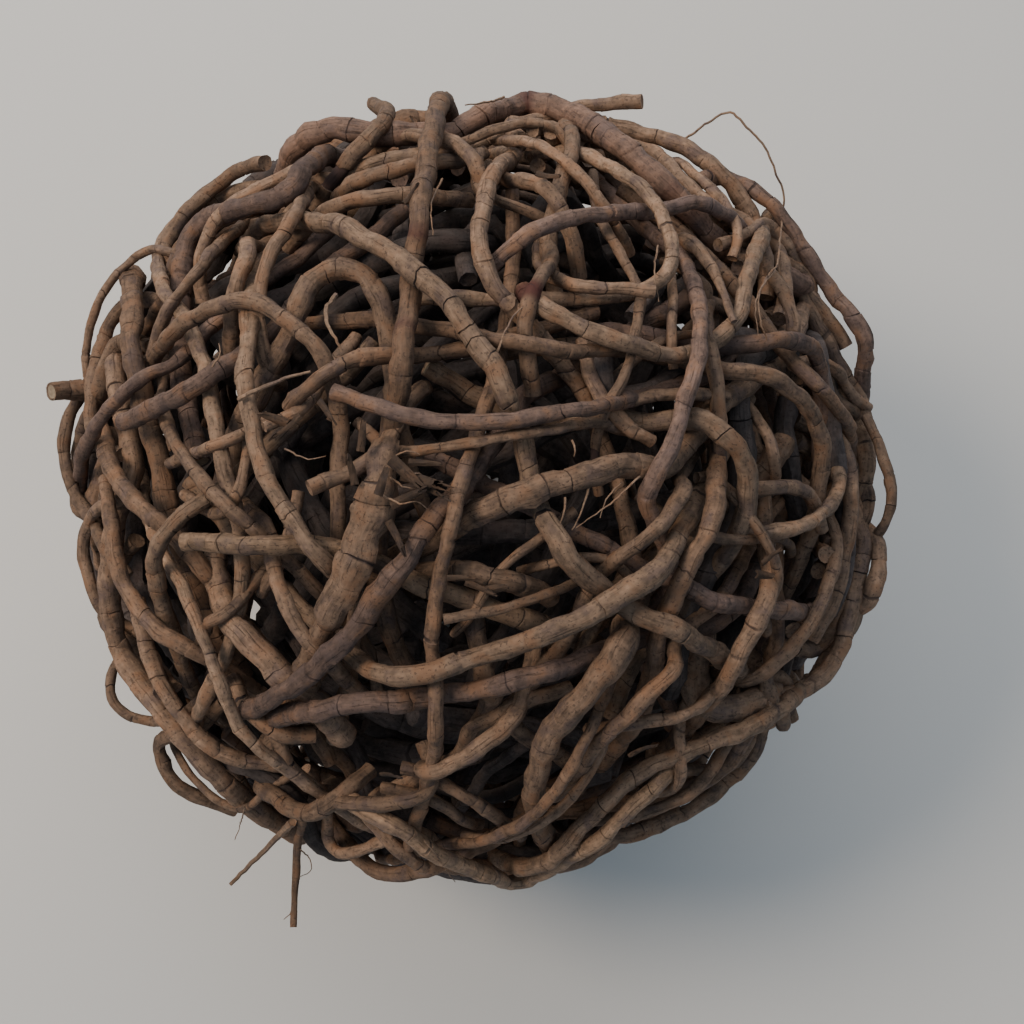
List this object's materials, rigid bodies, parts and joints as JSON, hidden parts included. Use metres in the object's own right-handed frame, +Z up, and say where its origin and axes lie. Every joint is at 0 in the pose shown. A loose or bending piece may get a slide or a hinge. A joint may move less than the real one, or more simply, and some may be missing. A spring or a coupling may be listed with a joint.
{
  "type": "woven vine root ball",
  "caption": "Hollow decorative ball woven from dried vine roots, with a small level foot so that it does not roll.",
  "frame": {"origin": "on the surface it stands on, under the middle of the ball's bounding box", "axes": "+Z up through the ball, -Y towards the side from which the show face is seen, +X to the right of that view"},
  "size_m": [0.1488, 0.153, 0.1475],
  "materials": {
    "grey_bark": "dry grey-brown root bark, cracked across, matt",
    "brown_bark": "dry brown root bark, cracked across, matt",
    "light_bark": "dry light brown root bark, cracked across, matt",
    "dark_bark": "dry dark brown root bark, cracked across, matt",
    "red_wood": "reddish brown wood of a root that has lost its bark, slightly smooth",
    "pale_wood": "pale tan wood of a peeled root, matt"
  },
  "bodies": {
    "root": {"rest_root_1": "grey_bark", "rest_root_2": "brown_bark", "rest_root_3": "light_bark", "long_chord": "dark_bark", "right_chord": "grey_bark", "upright": "brown_bark", "long_curve": "light_bark", "waist_upper": "dark_bark", "upper_arch": "grey_bark", "short_bar": "brown_bark", "left_upright": "light_bark", "left_bar": "dark_bark", "left_slant": "grey_bark", "rim_slant": "brown_bark", "left_curl": "light_bark", "pale_bar": "pale_wood", "knotty_root": "grey_bark", "centre_upright": "brown_bark", "cradle": "light_bark", "lower_bar": "dark_bark", "thick_arm": "grey_bark", "thin_arm": "brown_bark", "top_loop": "light_bark", "top_bar": "dark_bark", "top_upright": "grey_bark", "right_bar": "brown_bark", "right_sweep": "light_bark", "right_upright": "dark_bark", "right_slant": "grey_bark", "right_leg": "brown_bark", "right_crook": "light_bark", "rim_bow": "dark_bark", "lower_bow": "grey_bark", "rim_diagonal": "brown_bark", "hook_root": "light_bark", "lower_right_bar": "dark_bark", "lower_right_leg": "grey_bark", "long_tail": "brown_bark", "right_rim": "light_bark", "left_brace": "dark_bark", "left_stub": "grey_bark", "knob_root": "brown_bark", "corner_sweep": "light_bark", "corner_band": "dark_bark", "outer_left": "grey_bark", "left_descent": "brown_bark", "slim_descent": "light_bark", "red_root": "red_wood", "bulb_root": "grey_bark", "lower_rim": "brown_bark", "bottom_rim": "pale_wood", "top_right_rim": "dark_bark", "right_loop": "grey_bark", "hanging_root": "brown_bark", "back_root_1": "light_bark", "back_root_2": "dark_bark", "back_root_3": "grey_bark", "back_root_4": "brown_bark", "back_root_5": "light_bark", "back_root_6": "dark_bark"}
  },
  "joints": []
}
